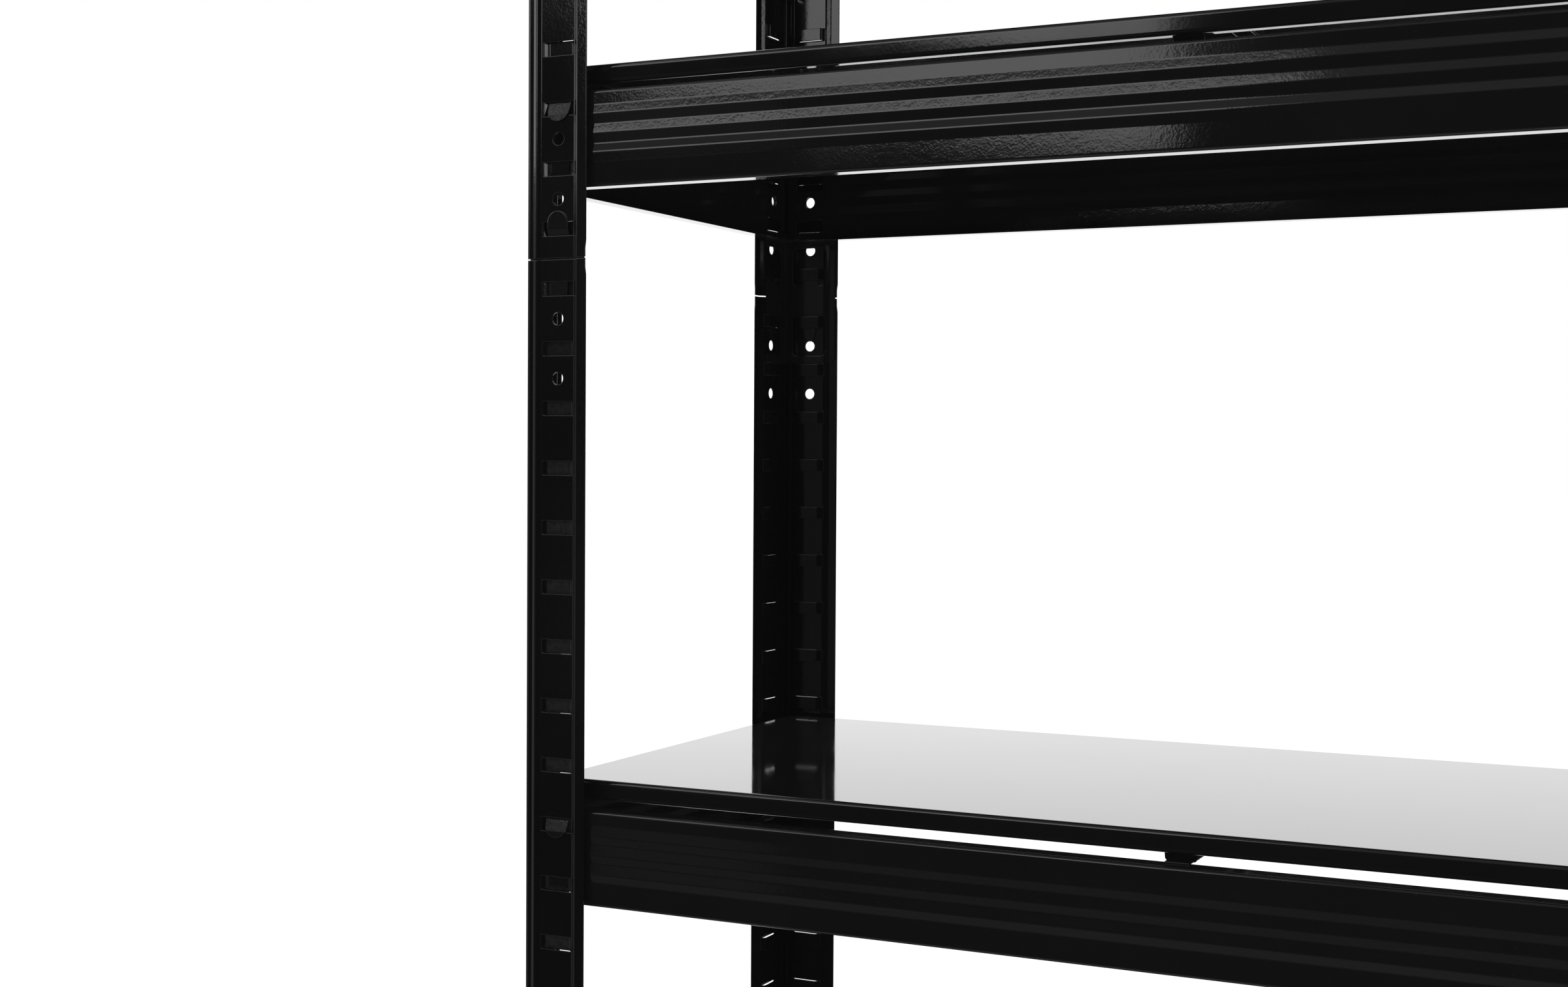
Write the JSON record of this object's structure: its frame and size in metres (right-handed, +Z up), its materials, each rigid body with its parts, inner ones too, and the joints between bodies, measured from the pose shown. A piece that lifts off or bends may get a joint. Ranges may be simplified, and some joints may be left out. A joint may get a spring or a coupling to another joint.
{
  "type": "boltless steel shelving",
  "caption": "Free-standing boltless storage rack: slotted L-section posts in two halves joined by tongue plates, hook-on ridged beams and lift-out steel shelf panels.",
  "frame": {"origin": "on the floor under the middle of the unit", "axes": "+Z up; X along the long side; -Y is the front, +Y the rear"},
  "size_m": [0.9048, 0.4048, 1.803],
  "materials": {
    "post_black": "gloss black powder coat, fine orange peel",
    "beam_black": "gloss black powder coat, fine orange peel",
    "panel_black": "smooth gloss black coat on slightly wavy sheet",
    "connector_black": "satin black coat",
    "foot_plastic": "black moulded plastic, fine texture"
  },
  "bodies": {
    "uprights": {"post_lower_front_left": "post_black", "post_upper_front_left": "post_black", "connector_front_left": "connector_black", "foot_front_left": "foot_plastic", "post_lower_front_right": "post_black", "post_upper_front_right": "post_black", "connector_front_right": "connector_black", "foot_front_right": "foot_plastic", "post_lower_rear_right": "post_black", "post_upper_rear_right": "post_black", "connector_rear_right": "connector_black", "foot_rear_right": "foot_plastic", "post_lower_rear_left": "post_black", "post_upper_rear_left": "post_black", "connector_rear_left": "connector_black", "foot_rear_left": "foot_plastic"},
    "level_1": {"long_beam_front_1": "beam_black", "long_beam_rear_1": "beam_black", "side_beam_left_1": "beam_black", "side_beam_right_1": "beam_black"},
    "panel_1": {"shelf_panel_1": "panel_black", "panel_stiffener_1": "panel_black"},
    "level_2": {"long_beam_front_2": "beam_black", "long_beam_rear_2": "beam_black", "side_beam_left_2": "beam_black", "side_beam_right_2": "beam_black"},
    "panel_2": {"shelf_panel_2": "panel_black", "panel_stiffener_2": "panel_black"},
    "level_3": {"long_beam_front_3": "beam_black", "long_beam_rear_3": "beam_black", "side_beam_left_3": "beam_black", "side_beam_right_3": "beam_black"},
    "panel_3": {"shelf_panel_3": "panel_black", "panel_stiffener_3": "panel_black"},
    "level_4": {"long_beam_front_4": "beam_black", "long_beam_rear_4": "beam_black", "side_beam_left_4": "beam_black", "side_beam_right_4": "beam_black"},
    "panel_4": {"shelf_panel_4": "panel_black", "panel_stiffener_4": "panel_black"},
    "level_5": {"long_beam_front_5": "beam_black", "long_beam_rear_5": "beam_black", "side_beam_left_5": "beam_black", "side_beam_right_5": "beam_black"},
    "panel_5": {"shelf_panel_5": "panel_black", "panel_stiffener_5": "panel_black"}
  },
  "joints": [
    {"name": "level_1_unhook", "type": "slide", "parent": "uprights", "child": "level_1", "axis": [0, 0, 1], "range_m": [0, 0.0039]},
    {"name": "panel_1_lift", "type": "slide", "parent": "level_1", "child": "panel_1", "axis": [0, 0, 1], "range_m": [0, 0.12]},
    {"name": "level_2_unhook", "type": "slide", "parent": "uprights", "child": "level_2", "axis": [0, 0, 1], "range_m": [0, 0.0039]},
    {"name": "panel_2_lift", "type": "slide", "parent": "level_2", "child": "panel_2", "axis": [0, 0, 1], "range_m": [0, 0.12]},
    {"name": "level_3_unhook", "type": "slide", "parent": "uprights", "child": "level_3", "axis": [0, 0, 1], "range_m": [0, 0.0039]},
    {"name": "panel_3_lift", "type": "slide", "parent": "level_3", "child": "panel_3", "axis": [0, 0, 1], "range_m": [0, 0.12]},
    {"name": "level_4_unhook", "type": "slide", "parent": "uprights", "child": "level_4", "axis": [0, 0, 1], "range_m": [0, 0.0039]},
    {"name": "panel_4_lift", "type": "slide", "parent": "level_4", "child": "panel_4", "axis": [0, 0, 1], "range_m": [0, 0.12]},
    {"name": "level_5_unhook", "type": "slide", "parent": "uprights", "child": "level_5", "axis": [0, 0, 1], "range_m": [0, 0.0039]},
    {"name": "panel_5_lift", "type": "slide", "parent": "level_5", "child": "panel_5", "axis": [0, 0, 1], "range_m": [0, 0.12]}
  ]
}
